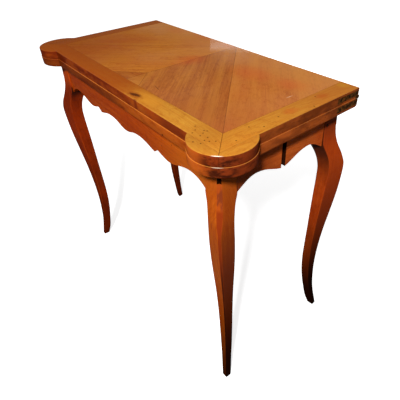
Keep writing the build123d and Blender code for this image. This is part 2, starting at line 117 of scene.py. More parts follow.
class Bench:
    """A tree of shader nodes. Most calls lay a node or a few and give back the output."""

    def __init__(self, tree):
        self.tree = tree

    def feed(self, socket, value):
        """Links an output to a socket, or sets the socket to a plain value."""
        if isinstance(value, bpy.types.NodeSocket):
            self.tree.links.new(value, socket)
        else:
            socket.default_value = value

    def lay(self, kind, feeds=(), **settings):
        """One node: settings are its own, feeds go to its inputs by name or number."""
        node = self.tree.nodes.new(kind)
        for key, value in settings.items():
            setattr(node, key, value)
        for key, value in dict(feeds).items():
            self.feed(node.inputs[key], value)
        return node

    def number(self, operation, *feeds, clamp=False):
        """Arithmetic on one or more numbers."""
        return self.lay("ShaderNodeMath", enumerate(feeds), operation=operation, use_clamp=clamp).outputs[0]

    def times(self, first, *others):
        """The product of numbers; of shares, it is the share where all of them hold."""
        for other in others:
            first = self.number("MULTIPLY", first, other)
        return first

    def vector(self, operation, *feeds):
        """Arithmetic on vectors; a dot product, length or distance comes back as a number."""
        node = self.lay("ShaderNodeVectorMath", enumerate(feeds), operation=operation)
        single = operation in ("DOT_PRODUCT", "LENGTH", "DISTANCE")
        return node.outputs["Value" if single else "Vector"]

    def stretch(self, place, x, y, z):
        """The same place with each axis scaled by itself."""
        return self.vector("MULTIPLY", place, (x, y, z))

    def noise(self, place, scale=1.0, detail=2.0, roughness=0.5, dimensions="3D"):
        """Cloudy noise from 0 to 1 at a place, or along one number."""
        where = "W" if dimensions == "1D" else "Vector"
        node = self.lay("ShaderNodeTexNoise", {"Scale": scale, "Detail": detail, "Roughness": roughness},
                        noise_dimensions=dimensions)
        self.feed(node.inputs[where], place)
        return node.outputs["Fac"]

    def step(self, number, start, end, low=0.0, high=1.0):
        """A smooth climb from low to high while the number goes from start to end."""
        feeds = enumerate((number, start, end, low, high))
        return self.lay("ShaderNodeMapRange", feeds, interpolation_type="SMOOTHSTEP").outputs[0]

    def blend(self, share, first, second, mode="MIX"):
        """Two colours mixed by a share of the second."""
        node = self.lay("ShaderNodeMix", {0: share, 6: first, 7: second}, data_type="RGBA", blend_type=mode)
        return node.outputs[2]

    def bump(self, height, distance, strength):
        """Relief on the surface, from a share of its greatest height, which is in metres."""
        node = self.lay("ShaderNodeBump", {"Height": height, "Distance": distance, "Strength": strength})
        return node.outputs[0]


class Finish(Bench):
    """The finish of a piece, laid out on the piece's own places."""

    def __init__(self, name):
        self.material = bpy.data.materials.new(name)
        self.material.use_nodes = True
        super().__init__(self.material.node_tree)
        self.shader = self.tree.nodes["Principled BSDF"]
        self.place = self.lay("ShaderNodeTexCoord").outputs["Object"]
        self.x, self.y, self.z = self.lay("ShaderNodeSeparateXYZ", {0: self.place}).outputs

    def set(self, **sockets):
        """Feeds the shader itself, by its sockets' names with _ for a space."""
        for name, value in sockets.items():
            self.feed(self.shader.inputs[name.replace("_", " ")], value)

    def kept(self, name):
        """A number that the mesh keeps for each of its points."""
        return self.lay("ShaderNodeAttribute", attribute_name=name).outputs["Fac"]

    def facing(self, direction):
        """How squarely the surface faces a direction, from -1 to 1."""
        return self.vector("DOT_PRODUCT", self.lay("ShaderNodeNewGeometry").outputs["Normal"], direction)

    def clouded(self, number, scale, reach):
        """A number shifted up and down by half the reach, by slow clouds, so that its limits turn ragged."""
        cloud = self.noise(self.place, scale=scale, detail=3, roughness=0.6)
        return self.number("ADD", number, self.times(self.number("SUBTRACT", cloud, 0.5), reach))


class Fruitwood(Finish):
    """Wood sawn from a log: the log runs along grain, and its heart passes through the point heart.

    Growth rings are a noise of the distance to the heart line, which wanders slowly. Long thin noise
    makes the fibres, short dark dashes are the pores, and slow noise turns whole patches warmer. Old
    polish lies in small dark clouds over it, with a few specks of dirt.
    """

    def __init__(self, name, pale, deep, warm, grain, heart, ring=3.0 * mm, figure=0.6, streak=8 * mm):
        super().__init__(name)
        along = Vector(grain).normalized()
        across = Vector((0, 0, 1)).cross(along) if abs(along.z) < 0.9 else Vector((1, 0, 0))
        across.normalize()
        offset = self.vector("SUBTRACT", self.place, heart)
        axes = (along, across, along.cross(across))
        run, wide, high = (self.vector("DOT_PRODUCT", offset, axis) for axis in axes)
        self.log = self.lay("ShaderNodeCombineXYZ", enumerate((run, wide, high))).outputs[0]
        slow = self.lay("ShaderNodeTexNoise", {"Vector": self.grainwise(2.2, 7), "Scale": 1.0, "Detail": 1.5,
                                               "Roughness": 0.45}).outputs["Color"]
        bend = self.stretch(self.vector("SUBTRACT", slow, (0.5, 0.5, 0.5)), 0, log_wander, log_wander)
        taper = self.lay("ShaderNodeCombineXYZ", {2: self.times(run, log_taper)}).outputs[0]
        bent_log = self.vector("ADD", self.vector("ADD", self.log, bend), taper)
        radius = self.vector("LENGTH", self.stretch(bent_log, 0, 1, 1))
        ring_count = self.number("DIVIDE", radius, ring)
        self.rings = self.noise(ring_count, detail=2.5, roughness=0.55, dimensions="1D")
        self.fibres = self.noise(self.grainwise(14, 520), detail=3, roughness=0.6)
        streaks = self.noise(self.grainwise(0.04 / streak, 1 / streak), detail=2)
        pores = self.noise(self.grainwise(110, 1500), detail=1)
        mottle = self.noise(self.grainwise(60, 120), detail=5, roughness=0.75)
        patches = self.noise(self.place, scale=5.5, detail=3, roughness=0.55)
        specks = self.noise(self.place, scale=330, detail=1)
        depth = self.number("ADD", self.times(self.step(self.rings, 0.34, 0.68), figure),
                            self.times(self.step(streaks, 0.3, 0.75), 1 - figure))
        self.colour = self.blend(depth, pale, deep)
        self.stain(warm, self.step(patches, 0.42, 0.72, 0, 0.75))
        self.stain(deep, self.step(self.fibres, 0.25, 0.75, 0.30, 0.0))
        self.stain(tone(60, 22, 8), self.step(pores, 0.63, 0.72, 0, 0.35))
        self.colour = self.blend(self.step(mottle, 0.48, 0.66, 0, 0.3), self.colour, deep, mode="MULTIPLY")
        self.stain(tone(56, 20, 8), self.step(specks, 0.745, 0.79, 0, 0.6))

    def grainwise(self, along, across):
        """The place in the log, scaled to so many clouds a metre along the grain and across it."""
        return self.stretch(self.log, along, across, across)

    def stain(self, colour, *shares):
        """Lays another colour over the wood, where all the shares hold."""
        self.colour = self.blend(self.times(*shares), self.colour, colour)

    def varnish(self, roughness=0.42, coat=0.02, coat_roughness=0.10, level=0.0):
        """Feeds the shader: colour, fine relief of the fibres, and a thin uneven gloss."""
        smears = self.noise(self.place, scale=16, detail=4, roughness=0.6)
        relief = self.number("ADD", self.times(self.fibres, 0.6), self.times(self.rings, 0.4))
        self.set(Base_Color=self.colour, Normal=self.bump(relief, 0.10 * mm, 0.5),
                 Roughness=self.step(smears, 0.3, 0.7, roughness - 0.06, roughness + 0.10),
                 Specular_IOR_Level=level, Coat_Weight=coat, Coat_Roughness=coat_roughness,
                 Coat_IOR=1.45)
        return self.material


def faced_mesh(name, points, faces, sharp_angle):
    """A mesh from its points and faces, smooth but for the edges past an angle."""
    mesh = bpy.data.meshes.new(name)
    mesh.from_pydata(points.reshape(-1, 3).tolist(), [], faces)
    mesh.validate()
    mesh.shade_smooth()
    mesh.set_sharp_from_angle(angle=sharp_angle)
    return mesh


def ring_faces(rows, around, first=0):
    """The faces of a stack of closed rings, numbered from first, with a flat face at each end."""
    index = first + np.arange(rows * around).reshape(rows, around)
    turned = np.roll(index, -1, axis=1)
    quads = np.stack([index[:-1], turned[:-1], turned[1:], index[1:]], axis=2).reshape(-1, 4)
    return quads.tolist() + [index[0, ::-1].tolist(), index[-1].tolist()]


body_of = {node: body for body, nodes in frame["record"]["behaviour"]["bodies"].items() for node in nodes}


def place_piece(name, mesh, finish, node):
    """Puts a finished mesh in the scene in place of a CAD node, riding on that node's body."""
    mesh.materials.append(finish)
    piece = bpy.data.objects.new(name, mesh)
    bpy.context.scene.collection.objects.link(piece)
    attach(piece, body_of[node])
    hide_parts(node)
    return piece


def fair_curve(at, knots, values):
    """Cubic through the knots: at each one its slope is that of the line between its neighbours."""
    slope = np.gradient(values, knots)
    at = np.clip(at, knots[0], knots[-1])
    place = np.clip(np.searchsorted(knots, at, side="right") - 1, 0, len(knots) - 2)
    span = knots[place + 1] - knots[place]
    t = (at - knots[place]) / span
    rise = values[place] * (2 * t**3 - 3 * t**2 + 1) + values[place + 1] * (3 * t**2 - 2 * t**3)
    lean = slope[place] * (t**3 - 2 * t**2 + t) + slope[place + 1] * (t**3 - t**2)
    return rise + lean * span


def leg_sections(heights):
    """Corners of the leg's section at each height, as outward distances from its two outer faces.

    Side arris, chamfer, middle of the chamfer, chamfer, side arris, inner arris, going round once.
    """
    share = heights / leg_height
    columns = [fair_curve(share, leg_section_shares[:, 0], leg_section_shares[:, i]) for i in range(1, 5)]
    arris, side = columns[0] * knee_out, columns[1] * knee_out
    depth, inner = columns[2] * post_width, np.minimum(columns[3] * post_width, post_width)
    flat = knee_out * fair_curve(share, *worn_flat_shares.T)
    chamfer_reach = math.sqrt(2) * knee_out * fair_curve(share, *chamfer_shares.T)
    shaved = np.minimum(chamfer_reach, 2 * arris - worn_flat_depth)
    run_out = np.clip((worn_flat_end - share) / worn_flat_run_out, 0, 1)
    arris = arris + (flat - worn_flat_depth) / 2 * run_out
    cut = (2 * arris - shaved) / (2 * arris + depth - side)
    in_post = np.minimum(1, (arris + post_width) / (arris + depth))
    outer = np.stack([arris, arris], 1)
    second = np.stack([side, -depth], 1)
    chamfer = outer + cut[:, None] * (second - outer)
    second = outer + in_post[:, None] * (second - outer)
    middle = (chamfer + chamfer[:, ::-1]) / 2
    corners = [second, chamfer, middle, chamfer[:, ::-1], second[:, ::-1], -np.stack([inner, inner], 1)]
    return np.stack(corners, 1)


def leg_rings(corners):
    """Rounds each corner with a parabola between its two sides, and adds points along the flats.

    A corner P with unit directions e and f to its neighbours gives the points
    P + c (1 - t)^2 e + c t^2 f, for t from 0 to 1, where c is the rounding. Returns the places
    and how near each one is to an arris.
    """
    rounding = np.array([side_arris_round, chamfer_arris_round, 0, chamfer_arris_round,
                         side_arris_round, inner_arris_round])
    before = np.roll(corners, 1, axis=1) - corners
    after = np.roll(corners, -1, axis=1) - corners
    run_before = np.maximum(np.linalg.norm(before, axis=2), 1e-9)
    run_after = np.maximum(np.linalg.norm(after, axis=2), 1e-9)
    cut = np.minimum(rounding, rounding_limit * np.minimum(run_before, run_after))
    t = np.linspace(0, 1, arc_points)
    back = before / run_before[..., None] * cut[..., None]
    forth = after / run_after[..., None] * cut[..., None]
    arcs = (corners[:, :, None] + back[:, :, None] * ((1 - t) ** 2)[:, None]
            + forth[:, :, None] * (t ** 2)[:, None])
    start, end = arcs[:, :, -1], np.roll(arcs[:, :, 0], -1, axis=1)
    shares = np.array(face_shares)
    flats = start[:, :, None] + (end - start)[:, :, None] * shares[:, None]
    ring = np.concatenate([arcs, flats], axis=2)
    rows, around = ring.shape[0], ring.shape[1] * ring.shape[2]
    worn = np.concatenate([1 - 0.5 * np.abs(2 * t - 1), 0 * shares])
    return ring.reshape(rows, around, 2), np.tile(worn, (rows, ring.shape[1])).reshape(rows, around)


def per_point(mesh, name, values):
    """Keeps one number per point on the mesh, for its finish to read."""
    store = mesh.attributes.new(name, "FLOAT", "POINT")
    store.data.foreach_set("value", np.asarray(values, dtype=np.float32).ravel())


def cabriole_leg(name, side, end, top):
    """The mesh of one leg: side is 1 on the right, end is 1 at the rear."""
    ledge = leg_height - notch_height
    turn = np.linspace(0, math.pi / 2, foot_rows)
    heights = np.concatenate([foot_round * (1 - np.cos(turn)),
                              np.linspace(foot_round, ledge, int(ledge / leg_row_step))[1:],
                              np.linspace(ledge, top, notch_rows)])
    notched = np.arange(len(heights)) >= len(heights) - notch_rows
    corners = leg_sections(heights)
    outer = fair_curve(heights / leg_height, leg_section_shares[:, 0], leg_section_shares[:, 1]) * knee_out
    cut_in = np.full_like(outer, -notch_width)
    corners[notched, 1] = np.stack([outer, cut_in], 1)[notched]
    corners[notched, 2] = -notch_width
    corners[notched, 3] = np.stack([cut_in, outer], 1)[notched]
    ring, worn = leg_rings(corners)
    middle = ring.mean(axis=1, keepdims=True)
    half_foot = np.linalg.norm(ring[0] - middle[0], axis=1).mean()
    drawn_in = np.zeros(len(heights))
    drawn_in[:foot_rows] = foot_round * (1 - np.sin(turn)) / half_foot
    ring = middle + (ring - middle) * (1 - drawn_in[:, None, None])
    corner_y = front_face if end < 0 else rear_face
    points = np.stack([side * (side_face + ring[..., 0]), corner_y + end * ring[..., 1],
                       np.broadcast_to(heights[:, None], ring.shape[:2])], axis=2)
    faces = ring_faces(*ring.shape[:2])
    if side * end < 0:
        faces = [face[::-1] for face in faces]
    mesh = faced_mesh(name, points, faces, leg_sharp_angle)
    # The facet reaches from the middle of the second corner's arc to the middle of the fourth's.
    columns = arc_points + len(face_shares)
    on_facet = np.zeros(ring.shape[:2])
    on_facet[:, columns + arc_points // 2:3 * columns + arc_points // 2 + 1] = 1
    in_notch = on_facet * notched[:, None]
    per_point(mesh, "arris", worn)
    per_point(mesh, "notch", in_notch)
    per_point(mesh, "facet", on_facet - in_notch)
    return mesh


def leg_finish(name, side, end, pale, deep, shaded, post, foot, black_to, dark_to, shade_rise):
    """Varnished fruitwood with its grain upright, its post above the knee in another tone.

    The post's tone is partly the wood's own and partly painted light and shade. The face toward the
    table's end is painted darker as shade, the shaved facet redder and marked at the knee, the
    arrises worn bright below it. The leg is darkened nearly black up to black_to, partly as dirt and
    partly as painted shade, which fades out at dark_to, and shade_rise higher on the end face as
    painted shade. Painted shadow lies black under the aprons, and the notch is painted near black.
    """
    wood = Fruitwood(name, pale=pale, deep=deep, warm=tone(178, 58, 12), grain=(0, 0, 1),
                     heart=(side * 0.33, end * 0.05, 0), ring=4.5 * mm, figure=0.5)
    ragged = wood.noise(wood.stretch(wood.place, 60, 60, 14), detail=3)
    grime = wood.noise(wood.stretch(wood.place, 110, 110, 26), detail=4, roughness=0.65)
    shaved = wood.step(wood.kept("facet"), 0.3, 0.9)
    outward = wood.facing((side, 0, 0))
    end_face = wood.step(outward, 0.1, 0.95)
    # Painted shade: the face toward the table's end is painted darker, most strongly low down.
    wood.stain(shaded, end_face, wood.step(wood.z, 0.42, knee_height, 0.95, 0.5))
    # The post above the knee gets its own tone, partly the wood's and partly painted light and shade; the
    # left front post is painted lighter where the leaf's shadow falls on it.
    wood.stain(post, wood.step(wood.z, knee_height + 10 * mm, knee_height + 60 * mm, 0.0, 0.6))
    wood.stain(tone(158, 64, 20), shaved, wood.step(ragged, 0.3, 0.7, 0.4, 0.8))
    below_knee = wood.step(wood.z, knee_height - 5 * mm, knee_height + 5 * mm, 0.75, 0.0)
    wood.stain(tone(124, 40, 12), shaved, below_knee)
    wood.stain(tone(58, 19, 7), shaved, wood.step(wood.z, 0.40, 0.52, 0.8, 0.0))
    on_knee = wood.times(wood.step(wood.z, knee_height - 3 * mm, knee_height + 7 * mm),
                         wood.step(wood.z, knee_height + 30 * mm, knee_height + 60 * mm, 1.0, 0.3))
    wood.stain(tone(104, 44, 26), shaved, on_knee, wood.step(grime, 0.46, 0.60, 0.0, 0.7))
    low_down = wood.step(wood.z, knee_height - 40 * mm, knee_height + 20 * mm, 1.0, 0.0)
    wood.stain(tone(206, 88, 24), low_down, wood.step(wood.kept("arris"), 0.5, 1.0),
               wood.step(ragged, 0.40, 0.62, 0, 0.4))
    # Darker towards the foot, partly dirt and partly painted shade; on the end face, which is turned from
    # the light, the painted shade reaches shade_rise higher.
    lowered = wood.number("SUBTRACT", wood.z, wood.times(end_face, shade_rise))
    wood.stain(foot, wood.step(lowered, black_to, dark_to, 0.97, 0.0))
    # Painted shadow: the leg's inner faces are painted near black where the aprons overhang them.
    side_apron_shadow = wood.step(wood.facing((0, -end, 0)), 0.5, 0.95)
    wood.stain(tone(46, 20, 9), side_apron_shadow, wood.step(wood.z, 0.46, 0.61, 0.0, 0.9))
    front_apron_shadow = wood.times(wood.step(outward, -0.5, -0.9), wood.step(wood.z, 0.624, 0.632, 1.0, 0.0))
    wood.stain(tone(38, 16, 8), front_apron_shadow, wood.step(wood.z, 0.585, 0.61, 0.0, 0.85))
    # Painted shade: the notch under the ear is painted near black.
    wood.stain(tone(18, 8, 4), wood.step(wood.kept("notch"), 0.1, 0.6, 0.0, 0.95))
    return wood.varnish(coat=wood.step(wood.z, 0.2, 0.5, 0.0, 0.02))


# The post tones are partly painted light and shade, and the shaded tones are painted shade.
leg_tones = {
    ("right", "front"): dict(
        pale=tone(206, 100, 22), deep=tone(176, 75, 14), shaded=tone(128, 48, 15), post=tone(190, 92, 22),
        foot=tone(20, 7, 3), black_to=-0.06, dark_to=0.42, shade_rise=0.11),
    ("left", "front"): dict(
        pale=tone(142, 46, 11), deep=tone(115, 33, 8), shaded=tone(115, 33, 8), post=tone(214, 84, 22),
        foot=tone(84, 26, 8), black_to=-0.18, dark_to=0.30, shade_rise=0.0),
    ("right", "rear"): dict(
        pale=tone(198, 79, 20), deep=tone(166, 60, 13), shaded=tone(142, 51, 16), post=tone(120, 48, 18),
        foot=tone(14, 6, 2), black_to=0.06, dark_to=0.50, shade_rise=0.05),
    ("left", "rear"): dict(
        pale=tone(140, 48, 14), deep=tone(116, 36, 9), shaded=tone(116, 36, 9), post=tone(130, 44, 12),
        foot=tone(60, 20, 8), black_to=-0.18, dark_to=0.30, shade_rise=0.0),
}
for (hand, half), tones in leg_tones.items():
    node = f"{hand}_{half}_leg"
    side = 1 if hand == "right" else -1
    end = 1 if half == "rear" else -1
    leg_mesh = cabriole_leg("carved_" + node, side, end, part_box(node)[1][2])
    place_piece("carved_" + node, leg_mesh, leg_finish("leg_wood_" + node, side, end, **tones), node)


# Aprons. The front apron, the two halves of each side apron and the rear apron are fruitwood boards,
# sawn to a scroll along the lower edge and tenoned into the legs. Their lower arrises are eased.
flat_angle = math.radians(0.6)
merge_distance = 0.004 * mm
board_face = 200 * mm**2
board_sharp_angle = math.radians(40)
arris_steps = 3


def eased(node, name, worn, width, finish):
    """A copy of a sawn piece with some arrises rounded over, in place of its CAD node.

    The node's loose triangles are first joined up into whole faces. worn(middle, one, other) gets
    the middle of an edge and the directions of its two faces, and says whether it is rounded.
    """
    build = bmesh.new()
    build.from_mesh(frame["nodes"][node].data)
    bmesh.ops.remove_doubles(build, verts=build.verts, dist=merge_distance)
    bmesh.ops.dissolve_limit(build, angle_limit=flat_angle, verts=build.verts, edges=build.edges)
    build.normal_update()
    arrises = []
    for edge in build.edges:
        middle = (edge.verts[0].co + edge.verts[1].co) / 2
        if len(edge.link_faces) == 2 and worn(middle, *(face.normal for face in edge.link_faces)):
            arrises.append(edge)
    bmesh.ops.bevel(build, geom=arrises, offset=width, offset_type="OFFSET", segments=arris_steps,
                    profile=0.5, affect="EDGES", clamp_overlap=True)
    for face in build.faces:
        face.smooth = face.calc_area() < board_face
    mesh = bpy.data.meshes.new(name)
    build.to_mesh(mesh)
    build.free()
    stored_normals = mesh.attributes.get("custom_normal")
    if stored_normals:
        mesh.attributes.remove(stored_normals)
    mesh.set_sharp_from_angle(angle=board_sharp_angle)
    place_piece(name, mesh, finish, node)


def board_arrises(axis):
    """Picks the edges along the lower side of an upright board whose thickness lies along axis."""
    def worn(middle, one, other):
        across, square = sorted((abs(one[axis]), abs(other[axis])))
        return square > 0.99 and across < 0.1 and min(one.z, other.z) < -0.05
    return worn


def apron_finish(name, pale, deep, grain, heart, other, other_from, other_to, ends=()):
    """The frame's red-brown fruitwood with its grain along the board, of another tone towards one end.

    ends are the places along the board where a sawn end is painted near black as the shade in the gap.
    """
    wood = Fruitwood(name, pale=pale, deep=deep, warm=tone(178, 64, 12), grain=grain, heart=heart,
                     ring=4.0 * mm, figure=0.4, streak=5 * mm)
    along = wood.vector("DOT_PRODUCT", wood.place, grain)
    wood.stain(other, wood.step(wood.clouded(along, 11, 0.2), other_from, other_to, 0.0, 0.7))
    # Painted shade: the sawn ends at the gap in the side apron are painted near black.
    for end in ends:
        away = wood.number("ABSOLUTE", wood.number("SUBTRACT", along, end))
        wood.stain(tone(20, 8, 4), wood.step(away, 0.2 * mm, 1.2 * mm, 0.97, 0.0))
    return wood


def worm_holes(wood, places, radius=1.25 * mm):
    """Small dark flight holes of woodworm round some points of the surface."""
    nearest = None
    for place in places:
        reach = wood.vector("DISTANCE", wood.place, place)
        nearest = reach if nearest is None else wood.number("MINIMUM", nearest, reach)
    wood.stain(tone(44, 16, 6), wood.step(nearest, radius * 0.6, radius * 1.5, 0.95, 0.0))


apron_round = 1.2 * mm
gap_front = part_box("right_front_side_apron")[1][1]
gap_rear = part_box("right_rear_side_apron")[0][1]
front_apron_wood = apron_finish(
    "front_apron_wood", tone(214, 92, 13), tone(170, 56, 7), grain=(1, 0, 0),
    heart=(0, front_face + 0.06, 0.60), other=tone(208, 110, 26), other_from=0.06, other_to=0.36)
side_apron_wood = apron_finish(
    "side_apron_wood", tone(222, 108, 40), tone(186, 80, 27), grain=(0, 1, 0),
    heart=(side_face - 0.05, 0, 0.60), other=tone(130, 53, 16), other_from=0.02, other_to=-0.06,
    ends=(gap_front, gap_rear))
worm_holes(front_apron_wood, [(x * mm, front_face, z * mm) for x, z in ((172, 646), (214, 666))])
front_apron_varnish = front_apron_wood.varnish()
side_apron_varnish = side_apron_wood.varnish()
for node in ("front_apron", "rear_apron"):
    eased(node, "sawn_" + node, board_arrises(1), apron_round, front_apron_varnish)
for hand in ("right", "left"):
    for half in ("front", "rear"):
        node = f"{hand}_{half}_side_apron"
        eased(node, "sawn_" + node, board_arrises(0), apron_round, side_apron_varnish)


# Inner parts of the frame. Rails, runners, keys, tie bar, cross bar and glue blocks are plain planed
# softwood, never varnished; the draw pegs are dark riven wood, cut off just proud of the legs.
def planed_finish(name, grain, heart):
    """Bare planed wood, dusty and dull."""
    wood = Fruitwood(name, pale=tone(190, 152, 104), deep=tone(150, 108, 64), warm=tone(172, 126, 78),
                     grain=grain, heart=heart, figure=0.75)
    return wood.varnish(roughness=0.7, coat=0.0, level=0.1)


def lay_finish(node, material):
    """Gives a CAD node its material."""
    mesh = frame["nodes"][node].data
    mesh.materials.clear()
    mesh.materials.append(material)


long_planed = planed_finish("planed_wood_lengthwise", (1, 0, 0), (0, 0.01, 0.58))
cross_planed = planed_finish("planed_wood_crosswise", (0, 1, 0), (0.25, 0, 0.58))
for node in ("cross_bar", "tie_bar", "glue_blocks"):
    lay_finish(node, long_planed)
for hand in ("right", "left"):
    for inner in ("fixed_rail", "moving_runner", "guide_key"):
        lay_finish(f"{hand}_{inner}", cross_planed)
peg_wood = Fruitwood("peg_wood", pale=tone(84, 40, 20), deep=tone(42, 18, 9), warm=tone(64, 28, 13),
                     grain=(1, 0, 0), heart=(0, 0, 0.66), ring=1.2 * mm)
peg_varnish = peg_wood.varnish(roughness=0.45)
peg_around = 20
peg_length = 24 * mm
peg_lumps = 5
peg_unevenness = 0.05
peg_sharp_angle = math.radians(50)
# Place along the peg from its root, and radius there, as shares of the whole.
peg_shares = np.array([(0.0, 1.0), (0.5, 1.0), (0.9, 1.0), (0.97, 0.94), (1.0, 0.75), (1.0, 0.35)])


def draw_pegs(name, node):
    """A pair of riven pegs: rings of radius r (1 + e cos ka), drawn in to a low dome at the head."""
    low, high = (np.array(v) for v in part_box(node))
    radius = (high[2] - low[2]) / 2
    middle = (low + high) / 2
    run, drawn_in = peg_shares.T
    turn = np.linspace(0, 2 * np.pi, peg_around, endpoint=False)
    reach = radius * drawn_in[:, None] * (1 + peg_unevenness * np.cos(peg_lumps * turn))[None, :]
    points, faces = [], []
    for side in (1, -1):
        root, head = side * (high[0] - peg_length), side * high[0]
        x = np.broadcast_to((root + (head - root) * run)[:, None], reach.shape)
        y = middle[1] + reach * np.cos(turn)
        z = middle[2] + side * reach * np.sin(turn)
        points.append(np.stack([x, y, z], 2))
        faces += ring_faces(*reach.shape, first=0 if side > 0 else reach.size)
    place_piece(name, faced_mesh(name, np.concatenate(points), faces, peg_sharp_angle), peg_varnish, node)


draw_pegs("front_draw_pegs", "front_pegs")
draw_pegs("rear_draw_pegs", "rear_pegs")


# Borders and ears of the two leaves. Each leaf has a mitred border of pale golden fruitwood, and the
# round ears at the two front corners are built up from two blocks, mitred like the border. The core
# boards between them are plainer wood.
top_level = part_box("upper_front_border")[1][2]
leaf_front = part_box("upper_front_border")[0][1]
half_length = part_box("right_upper_side_border")[1][0]
border_width = half_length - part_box("front_right_veneer")[1][0]
lower_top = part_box("lower_front_border")[1][2]
ear_inset = 37 * mm
ear_centre_x = half_length - ear_inset
ear_centre_y = leaf_front + ear_inset
ear_reach = 63 * mm
arris_round = 1.3 * mm
on_line = 0.25 * mm
glue_width = 0.35 * mm


def leaf_rim(middle, one, other):
    """Picks the arrises round a leaf's outside: one face level, the other upright, on the outline."""
    wall, level = sorted((one, other), key=lambda face: abs(face.z))
    out_x, out_y = abs(middle.x) - ear_centre_x, middle.y - ear_centre_y
    faces_out = wall.x * math.copysign(1, middle.x) * out_x + wall.y * out_y > 50 * mm
    on_ear = math.hypot(out_x, out_y) > ear_reach - 3 * mm and faces_out
    on_front = wall.y < -0.99 and middle.y < leaf_front + on_line
    on_end = abs(wall.x) > 0.99 and abs(middle.x) > half_length - on_line
    return abs(level.z) > 0.99 and abs(wall.z) < 0.1 and (on_ear or on_front or on_end)


def seam(wood, point, direction, strength, inside=None):
    """A dark glue line through a point, along a direction, seen from above.

    inside is the middle and radius of a circle that the line stays in.
    """
    line = Vector((*direction, 0)).normalized()
    square = (-line.y, line.x, 0)
    offset = wood.vector("SUBTRACT", wood.place, (*point, 0))
    away = wood.number("ABSOLUTE", wood.vector("DOT_PRODUCT", offset, square))
    shares = [wood.step(away, 0.4 * glue_width, 2 * glue_width, strength, 0.0)]
    if inside:
        middle, radius = inside
        reach = wood.vector("DISTANCE", wood.stretch(wood.place, 1, 1, 0), (*middle, 0))
        shares.append(wood.step(reach, radius - mm, radius, 1.0, 0.0))
    wood.stain(tone(70, 26, 8), *shares)


def oval(wood, middle, radii, soft, ragged=0.0, turn=0.0):
    """Share that is 1 inside an oval in plan and fades out at its rim, with a ragged edge if asked."""
    offset = wood.vector("SUBTRACT", wood.stretch(wood.place, 1, 1, 0), (*middle, 0))
    long_axis = (math.cos(turn) / radii[0], math.sin(turn) / radii[0], 0)
    short_axis = (-math.sin(turn) / radii[1], math.cos(turn) / radii[1], 0)
    squares = [wood.number("POWER", wood.vector("DOT_PRODUCT", offset, axis), 2)
               for axis in (long_axis, short_axis)]
    reach = wood.number("SQRT", wood.number("ADD", *squares))
    if ragged:
        rough_edge = wood.noise(wood.place, scale=1.6 / radii[1], detail=3, roughness=0.6)
        reach = wood.number("ADD", reach, wood.times(wood.number("SUBTRACT", rough_edge, 0.5), ragged))
    return wood.step(reach, 1 - soft, 1 + soft, 1.0, 0.0)


def by_ear(x, y, *radii, **form):
    """An oval beside the right ear: its middle's offset from the ear's centre and its radii, in mm."""
    def share(wood):
        middle = (ear_centre_x + x * mm, ear_centre_y + y * mm)
        return oval(wood, middle, tuple(radius * mm for radius in radii), **form)
    return share


worn_flank = by_ear(-34, -52, 48, 44, soft=0.6)
# Painted shade on the upper leaf's front edge where the ear meets it.
shade_beside_ear = by_ear(-96, -37, 44, 14, soft=0.6)
handled_flank = by_ear(62, -6, 62, 58, soft=0.4)
sooty_nose = by_ear(46, -42, 32, 28, soft=0.5)
browner_top = by_ear(-22, -24, 34, 32, soft=0.8)
# Painted highlight: the near-white spot on the top arrises at the nose of the ear.
nose_highlight = by_ear(42, -46, 7, 7, soft=0.8)


def edge_stain(wood, light, deep):
    """The edges of a leaf: clouded with old polish and handling, blackest on the near ear.

    The top arris of the lower leaf carries a painted highlight, a pale line that fades out towards
    the left. The front edge beside the ear carries painted shade.
    """
    broad = wood.noise(wood.stretch(wood.place, 14, 14, 40), detail=3, roughness=0.6)
    fine = wood.noise(wood.stretch(wood.place, 60, 60, 110), detail=4, roughness=0.7)
    smoky = wood.noise(wood.stretch(wood.place, 36, 36, 90), detail=4, roughness=0.6)
    on_ear = wood.step(wood.y, leaf_front - 4 * mm, leaf_front - mm, 1.0, 0.0)
    on_upper = wood.step(wood.z, lower_top, lower_top + mm)
    on_lower = wood.step(wood.z, lower_top - 2 * mm, lower_top - mm, 1.0, 0.0)
    handled = handled_flank(wood)
    edge = wood.blend(wood.step(broad, 0.36, 0.64), deep, light)
    for colour, *shares in (
            (tone(66, 22, 8), wood.step(fine, 0.56, 0.74, 0.0, 0.45)),
            (tone(204, 98, 30), worn_flank(wood), on_ear, 0.8),
            # Painted shade beside the ear.
            (tone(104, 36, 12), shade_beside_ear(wood), on_upper, 0.7),
            (tone(98, 36, 11), wood.step(wood.x, 0.0, 0.1, 0.65, 0.0), on_lower),
            (tone(122, 46, 17), handled, 0.9),
            (tone(56, 16, 7), handled, wood.step(fine, 0.46, 0.66, 0.0, 0.6)),
            (tone(36, 12, 7), sooty_nose(wood), wood.step(smoky, 0.42, 0.60, 0.0, 0.8))):
        edge = wood.blend(wood.times(*shares), edge, colour)
    wood.colour = wood.blend(wood.step(wood.z, top_level - 1.3 * mm, top_level - 0.4 * mm, 1.0, 0.0),
                             wood.colour, edge)
    # Painted highlight: a pale line along the top arris of the lower leaf, fading out towards the left.
    from_line = wood.number("ABSOLUTE", wood.number("SUBTRACT", wood.z, lower_top - 0.4 * mm))
    wood.stain(tone(222, 148, 56), wood.step(from_line, 0.1 * mm, 0.4 * mm, 0.5, 0.0),
               wood.step(wood.x, -0.26, -0.10, 0.15, 1.0))


